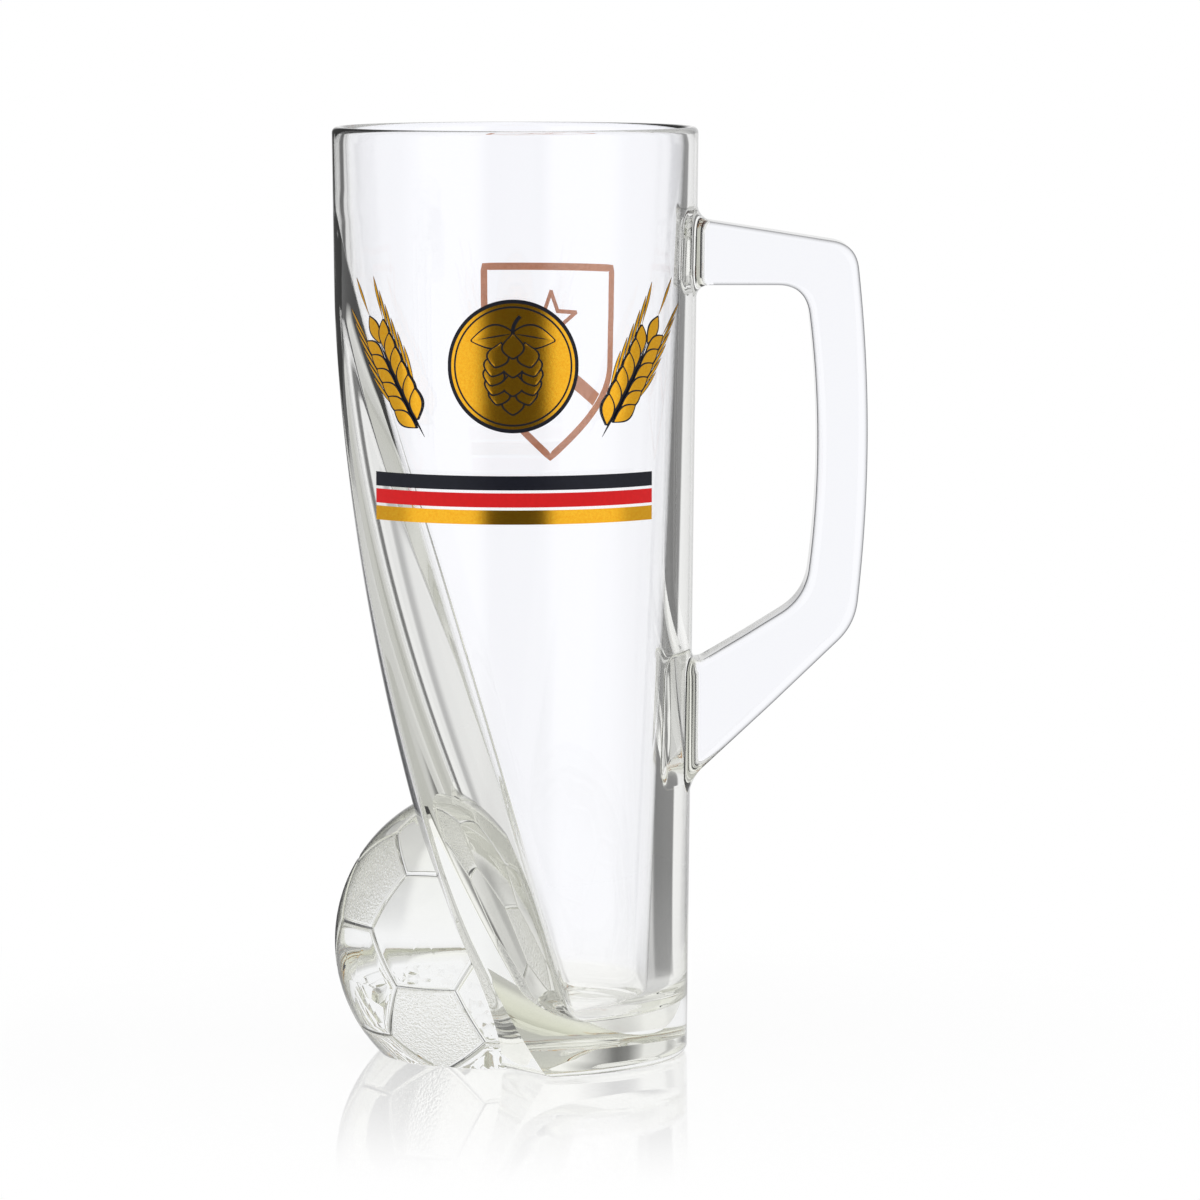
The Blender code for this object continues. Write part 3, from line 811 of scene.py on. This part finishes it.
stem_run = np.linspace(0, 1, STEM_STEPS)[:, None]
stem = cone_top + stem_run * STEM_REACH - stem_run * (1 - stem_run) * [STEM_BOW, 0]
medallion_layers.append(ink_layer(ribbons(stem[None], INK_LINE), 20, ink=1))
medallion = ink_print("medallion", medallion_layers, gold, ink_black)
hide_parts("front_medallion")

# Barley ears. The same gold and ink, one ear on each side of the medallion: two rows of grains
# along a leaning axis, each with a long fine awn.
EAR_LENGTH = 30 * MM
EAR_TILT = np.radians(32)
EAR_OFFSET = 27 * MM
EAR_HEIGHT = 148 * MM
GRAIN_PAIRS = 6
GRAIN_LENGTH = 6.4 * MM
GRAIN_WIDTH = 2.7 * MM
GRAIN_BULGE = 0.9
GRAIN_LEAN = np.radians(27)
GRAIN_STANDOFF = 0.6 * MM
ROW_STAGGER = 0.4
AWN_START = 6.016 * MM
AWN_LENGTH = 10 * MM
AWN_WIDTH = 0.5 * MM
AWN_BULGE = 0.7
STALK_LENGTH = 24 * MM
STALK_WIDTH = 1.0 * MM
for name, hand in (("front_ear_left", -1), ("front_ear_right", 1)):
    tilt = hand * EAR_TILT
    axis = heading(tilt)
    sideways = np.array([axis[1], -axis[0]])
    foot = np.array([hand * EAR_OFFSET, EAR_HEIGHT]) - EAR_LENGTH / 2 * axis
    step = np.append(np.repeat(np.arange(GRAIN_PAIRS), 2), GRAIN_PAIRS)
    row = np.append(np.tile([-1.0, 1.0], GRAIN_PAIRS), 0.0)
    pitch = (EAR_LENGTH - GRAIN_LENGTH / 2) / (GRAIN_PAIRS + 2)
    place = (1 + step + ROW_STAGGER * (row > 0)) * pitch
    lean = tilt + row * GRAIN_LEAN
    base = foot + place[:, None] * axis + row[:, None] * GRAIN_STANDOFF * sideways
    tip = base + AWN_START * heading(lean)
    awns = tip, heading(tilt + row * GRAIN_LEAN / 2), AWN_LENGTH, AWN_WIDTH, AWN_BULGE
    layers = [
        ink_layer(petals(foot, axis, STALK_LENGTH, STALK_WIDTH), 0, ink=1),
        ink_layer(petals(*awns, INK_LINE / 2), 0, ink=1),
        ink_layer(petals(*awns), 1),
    ]
    for number in range(len(step)):
        grain = base[number], heading(lean[number]), GRAIN_LENGTH, GRAIN_WIDTH, GRAIN_BULGE
        layers += inked_gold(*grain, 2 + 3 * (GRAIN_PAIRS - step[number]))
    ear = ink_print(name.removeprefix("front_"), layers, gold, ink_black)
    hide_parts(name)

# Stripes. Three straight bands under the medallion, black and red ceramic ink and the same gold,
# each screened in its own pass with a bare line between them.
STRIPE_LENGTH = 66 * MM
STRIPE_WIDTH = 3 * MM
STRIPE_PITCH = 3.6 * MM
STRIPE_TOP_HEIGHT = 128 * MM
STRIPE_STEPS = 97
SATIN_RED = {"Roughness": 0.5, "Specular IOR Level": 0.2}
ink_red = fired_film("red ceramic ink", "#C80C12", "#DC1218", 0.8 * MM, 2.0, 0.2, SATIN_RED)
for number, (colour, material) in enumerate((("black", ink_black), ("red", ink_red), ("gold", gold))):
    along = np.linspace(-STRIPE_LENGTH / 2, STRIPE_LENGTH / 2, STRIPE_STEPS)
    height = STRIPE_TOP_HEIGHT - STRIPE_WIDTH / 2 - number * STRIPE_PITCH
    path = np.stack([along, np.full(STRIPE_STEPS, height)], -1)
    stripe = ink_print("stripe_" + colour, [ink_layer(ribbons(path[None], STRIPE_WIDTH / 2), 1)], material)
    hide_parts("front_stripe_" + colour)

# Shield. Copper lustre, a thin rosy metal film with an uneven grain, less bright than the gold. It is
# screened onto the back of the wall and seen through the glass: an outline with a star over a chevron.
SHIELD_OFFSET = 8 * MM
SHIELD_HEIGHT = 146 * MM
SHIELD_WIDTH = 32 * MM
SHIELD_LENGTH = 42 * MM
SHIELD_SIDE = 21 * MM
SHIELD_LINE = 1.6 * MM
STAR_RADIUS = 6.5 * MM
STAR_WAIST = 2.73 * MM
STAR_LIFT = 9 * MM
STAR_LINE = 0.9 * MM
STAR_OVERLAP = 0.06
CHEVRON_SPAN = 24 * MM
CHEVRON_RISE = 8 * MM
SHIELD_SIDE_STEPS = 52
SHIELD_TOP_STEPS = 24
STAR_SIDE_STEPS = 5
CHEVRON_STEPS = 25
LUSTRE = {"Metallic": 1.0, "Roughness": 0.3}
copper = fired_film("copper lustre", "#B06A4A", "#D99A7C", 0.7 * MM, 3.0, 0.0, LUSTRE)


def shield_outline():
    """The shield's closed outline. Each side is straight at first and then a quarter of a cosine that
    runs in to the point, and the top is straight."""
    t = np.linspace(0, 1, SHIELD_SIDE_STEPS)
    fall = np.clip((t * SHIELD_LENGTH - SHIELD_SIDE) / (SHIELD_LENGTH - SHIELD_SIDE), 0, 1)
    half = np.stack([SHIELD_WIDTH / 2 * np.cos(np.pi / 2 * fall), SHIELD_LENGTH * (0.5 - t)], -1)
    along = np.linspace(-SHIELD_WIDTH / 2, SHIELD_WIDTH / 2, SHIELD_TOP_STEPS)[1:-1]
    top = np.stack([along, np.full(len(along), SHIELD_LENGTH / 2)], -1)
    return np.concatenate([half, half[-2::-1] * [-1, 1], top])


shield_middle = np.array([SHIELD_OFFSET, SHIELD_HEIGHT])
outline = (shield_middle + shield_outline())[None]
shield_layers = [ink_layer(ribbons(outline, SHIELD_LINE / 2, closed=True), 1, closed=True, side=REAR)]
point = np.arange(11)
star_radius = np.where(point % 2, STAR_WAIST, STAR_RADIUS)
star = shield_middle + [0, STAR_LIFT] + heading(point * np.pi / 5) * star_radius[:, None]
for start, end in zip(star[:-1], star[1:]):
    run = np.linspace(-STAR_OVERLAP, 1 + STAR_OVERLAP, STAR_SIDE_STEPS)[:, None]
    path = start + run * (end - start)
    shield_layers.append(ink_layer(ribbons(path[None], STAR_LINE / 2), 1, side=REAR))
share = np.linspace(-1, 1, CHEVRON_STEPS)
chevron = shield_middle + np.stack([share * CHEVRON_SPAN / 2, -CHEVRON_RISE * np.abs(share)], -1)
shield_layers.append(ink_layer(ribbons(chevron[None], SHIELD_LINE), 1, side=REAR))
shield = ink_print("shield", shield_layers, copper)
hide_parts("rear_shield")

# Studio. A white backdrop with black flags at its two ends and behind the camera, soft boxes between
# them and a dim ceiling overhead: what the glass mirrors shows them, and bare glass hardly.
ON_BACKDROP, ON_TABLE = 1, 2
# Azimuth in degrees, and the tones there for four kinds of mirrored ray: off the outside of the glass,
# from within it to the backdrop, from within it to the table, where these tones are painted shade on
# the table's glow, and from within it upwards.
FLAGS = (
    (-180, 0.08, 0.8, 0.8, 0.8), (-163, 0.08, 0.8, 0.8, 0.8), (-155, 1.0, 1.0, 1.0, 1.0),
    (-112, 1.0, 1.0, 1.0, 1.0), (-104, 0.6, 0.82, 0.82, 0.82), (-64, 0.6, 0.82, 0.82, 0.82),
    (-58, 0.5, 0.5, 0.5, 0.5), (-54, 0.5, 0.5, 0.5, 0.5), (-51, 0.5, 0.85, 0.85, 0.85),
    (-38, 0.5, 0.85, 0.85, 0.85), (-36, 0.1, 0.05, 0.08, 0.6), (-31, 0.1, 0.05, 0.08, 0.2),
    (-26, 0.1, 0.05, 1.0, 0.12), (-14, 0.1, 0.05, 1.0, 1.0), (-4, 1.0, 1.0, 1.0, 1.0),
    (22, 1.0, 1.0, 1.0, 1.0), (25, 0.5, 0.16, 1.0, 0.16), (30, 0.5, 0.16, 1.0, 0.16),
    (32, 0.5, 0.16, 0.16, 0.16), (60, 0.5, 0.16, 0.16, 0.16), (64, 0.6, 0.6, 0.6, 0.6),
    (104, 0.6, 0.6, 0.6, 0.6), (112, 1.0, 1.0, 1.0, 1.0), (155, 1.0, 1.0, 1.0, 1.0),
    (163, 0.08, 0.8, 0.8, 0.8), (180, 0.08, 0.8, 0.8, 0.8),
)
CLEAR = (0.995, 1.0, 1.05, 1)
CEILING_TONE = 0.45
CEILING_RISE = 0.4, 0.6
CEILING_BACK = 0.35, 0.0
CLIMB = 0.0, 0.04
SCATTERED_TONES = 1.0, 0.65
SCATTERED_SIDES = -0.7, 0.1
STREAK_TONE = 0.03
STREAK_SIDES = -0.34, -0.2
STREAK_SLOPE = 0.06, 0.1


def studio_light(tree, direction, inner):
    """Colour that a ray meets in this direction. The camera sees white, and a ray that only passed
    through glass a white that is a touch blue. A mirrored ray sees the tones of FLAGS, with inner
    the one for rays from within the glass. One mirrored three times or more sees scattered light,
    which fades from left to right, with a dark streak where the ray runs level to the left."""
    unit = add_node(tree, "ShaderNodeVectorMath", {0: direction}, operation="NORMALIZE")
    axes = add_node(tree, "ShaderNodeSeparateXYZ", {0: unit.outputs[0]})
    across, depth, rise = (axes.outputs[name] for name in "XYZ")
    path = add_node(tree, "ShaderNodeLightPath", {})

    azimuth = add_node(tree, "ShaderNodeMath", {0: across, 1: depth}, operation="ARCTAN2")
    share = add_node(tree, "ShaderNodeMapRange", {"Value": azimuth.outputs[0], 1: -np.pi, 2: np.pi})
    ramp = add_node(tree, "ShaderNodeValToRGB", {0: share.outputs[0]})
    elements = ramp.color_ramp.elements
    elements.remove(elements[0])
    for number, (angle, *levels) in enumerate(FLAGS):
        position = (angle + 180) / 360
        element = elements[0] if number == 0 else elements.new(position)
        element.position = position
        element.color = levels
    tones = add_node(tree, "ShaderNodeSeparateColor", {0: ramp.outputs[0]})
    climbing = add_node(tree, "ShaderNodeMapRange", {"Value": rise, 1: CLIMB[0], 2: CLIMB[1]})
    inside = add_node(tree, "ShaderNodeMix", {
        0: climbing.outputs[0], 2: tones.outputs[inner], 3: ramp.outputs["Alpha"],
    })
    within = add_node(tree, "ShaderNodeMath", {
        0: path.outputs["Transmission Depth"], 1: 0.5,
    }, operation="GREATER_THAN")
    flagged = add_node(tree, "ShaderNodeMix", {
        0: within.outputs[0], 2: tones.outputs[0], 3: inside.outputs[0],
    })

    scattered = add_node(tree, "ShaderNodeMapRange", {
        "Value": across, 1: SCATTERED_SIDES[0], 2: SCATTERED_SIDES[1],
        3: SCATTERED_TONES[0], 4: SCATTERED_TONES[1],
    })
    slope = add_node(tree, "ShaderNodeMath", {0: rise}, operation="ABSOLUTE")
    level = add_node(tree, "ShaderNodeMapRange", {
        "Value": slope.outputs[0], 1: STREAK_SLOPE[0], 2: STREAK_SLOPE[1], 3: STREAK_TONE, 4: 1.0,
    })
    streak = add_node(tree, "ShaderNodeMapRange", {
        "Value": across, 1: STREAK_SIDES[0], 2: STREAK_SIDES[1], 3: level.outputs[0], 4: 1.0,
    })
    scattered = add_node(tree, "ShaderNodeMath", {
        0: scattered.outputs[0], 1: streak.outputs[0],
    }, operation="MULTIPLY")
    many = add_node(tree, "ShaderNodeMapRange", {"Value": path.outputs["Glossy Depth"], 1: 2.0, 2: 3.0})
    tone = add_node(tree, "ShaderNodeMix", {
        0: many.outputs[0], 2: flagged.outputs[0], 3: scattered.outputs[0],
    })

    passed = add_node(tree, "ShaderNodeMix", {
        0: path.outputs["Is Transmission Ray"], 6: WHITE, 7: CLEAR,
    }, data_type="RGBA")
    mirrored = add_node(tree, "ShaderNodeMath", {
        0: path.outputs["Glossy Depth"], 1: 0.5,
    }, operation="GREATER_THAN")
    seen = add_node(tree, "ShaderNodeMix", {
        0: mirrored.outputs[0], 6: passed.outputs[2], 7: tone.outputs[0],
    }, data_type="RGBA")

    high = add_node(tree, "ShaderNodeMapRange", {"Value": rise, 1: CEILING_RISE[0], 2: CEILING_RISE[1]})
    near = add_node(tree, "ShaderNodeMapRange", {"Value": depth, 1: CEILING_BACK[0], 2: CEILING_BACK[1]})
    over = add_node(tree, "ShaderNodeMath", {0: high.outputs[0], 1: near.outputs[0]}, operation="MULTIPLY")
    lit = add_node(tree, "ShaderNodeMix", {0: over.outputs[0], 2: 1.0, 3: CEILING_TONE})
    for spared in (path.outputs["Is Diffuse Ray"], path.outputs["Is Camera Ray"], many.outputs[0]):
        lit = add_node(tree, "ShaderNodeMath", {0: lit.outputs[0], 1: spared}, operation="MAXIMUM")
    shown = add_node(tree, "ShaderNodeMix", {
        0: 1.0, 6: seen.outputs[2], 7: lit.outputs[0],
    }, data_type="RGBA", blend_type="MULTIPLY")
    return shown.outputs[2]


world = bpy.data.worlds.new("studio")
bpy.context.scene.world = world
world.use_nodes = True
tree = world.node_tree
tree.nodes.clear()
place = add_node(tree, "ShaderNodeTexCoord", {})
backdrop = studio_light(tree, place.outputs["Generated"], ON_BACKDROP)
sky = add_node(tree, "ShaderNodeBackground", {"Color": backdrop, "Strength": 1.0})
add_node(tree, "ShaderNodeOutputWorld", {"Surface": sky.outputs[0]})

# Table. A white gloss sheet under the mug. Round the foot it mirrors the glass and takes a soft
# shade. Farther out it glows as white as the backdrop to the camera, but rays mirrored in the glass
# see painted shade there: the studio's flag tones, laid on by where a point lies on the table.
TABLE_HALF = 2.4
TABLE_DROP = 0.05 * MM
MIRROR_SHARE = 0.35
MIRROR_ENDS = 0.04, 0.16
SHADE_SHARE = 0.25
SHADE_ENDS = 0.05, 0.2
PAINTED_FLAG_SHADE_BEGIN = 0.06, 0.09
table_mesh = bpy.data.meshes.new("floor")
table_mesh.from_pydata(
    [(TABLE_HALF * x, TABLE_HALF * y, 0) for x, y in ((-1, -1), (1, -1), (1, 1), (-1, 1))],
    [], [(0, 1, 2, 3)],
)
table = bpy.data.objects.new("floor", table_mesh)
bpy.context.collection.objects.link(table)
table.location.z = -TABLE_DROP
material, tree = new_material("white gloss table")
place = add_node(tree, "ShaderNodeTexCoord", {})
reach = add_node(tree, "ShaderNodeVectorMath", {0: place.outputs["Object"]}, operation="LENGTH")
mirror_share, shade_share, painted_flag_shade_share = (
    add_node(tree, "ShaderNodeMapRange", {
        "Value": reach.outputs["Value"], 1: ends[0], 2: ends[1], 3: first, 4: last,
    }, interpolation_type="SMOOTHSTEP")
    for ends, first, last in (
        (MIRROR_ENDS, MIRROR_SHARE, 0.0), (SHADE_ENDS, SHADE_SHARE, 0.0), (PAINTED_FLAG_SHADE_BEGIN, 0.0, 1.0),
    )
)
# Painted shade: a few centimetres out, the table's glow takes the studio's tones by the point's place on
# the table, so glass-mirrored rays see the flags' shade painted there, while the camera sees white.
tone = add_node(tree, "ShaderNodeMix", {
    0: painted_flag_shade_share.outputs[0], 6: WHITE, 7: studio_light(tree, place.outputs["Object"], ON_TABLE),
}, data_type="RGBA")
white = add_node(tree, "ShaderNodeEmission", {"Color": tone.outputs[2], "Strength": 1.0})
matte = add_node(tree, "ShaderNodeBsdfDiffuse", {"Color": WHITE})
mirror = add_node(tree, "ShaderNodeBsdfGlossy", {"Color": WHITE, "Roughness": 0.0})
top = add_node(tree, "ShaderNodeMixShader", {
    0: shade_share.outputs[0], 1: white.outputs[0], 2: matte.outputs[0],
})
gloss = add_node(tree, "ShaderNodeMixShader", {
    0: mirror_share.outputs[0], 1: top.outputs[0], 2: mirror.outputs[0],
})
add_node(tree, "ShaderNodeOutputMaterial", {"Surface": gloss.outputs[0]})
table_mesh.materials.append(material)

# Camera. A long lens well back from the mug and a little higher than its rim, tipped down. Light runs
# along the thick wall by many inner reflections before it leaves the glass, so many are allowed.
CAMERA_LENS = 192.1
CAMERA_SENSOR = 36.0
CAMERA_ASIDE = 18.16 * MM
CAMERA_BACK = 1373.8 * MM
CAMERA_HEIGHT = 237.1 * MM
CAMERA_DIP = np.radians(5.778)
LIGHT_BOUNCES = 48
camera_data = bpy.data.cameras.new("camera")
camera_data.lens = CAMERA_LENS
camera_data.sensor_width = CAMERA_SENSOR
camera = bpy.data.objects.new("camera", camera_data)
bpy.context.collection.objects.link(camera)
camera.location = (AXIS_X + CAMERA_ASIDE, -CAMERA_BACK, CAMERA_HEIGHT)
camera.rotation_euler = (np.pi / 2 - CAMERA_DIP, 0, 0)
bpy.context.scene.camera = camera
bpy.context.scene.view_settings.view_transform = "Standard"
for bounces in ("max_bounces", "glossy_bounces", "transmission_bounces"):
    setattr(bpy.context.scene.cycles, bounces, LIGHT_BOUNCES)
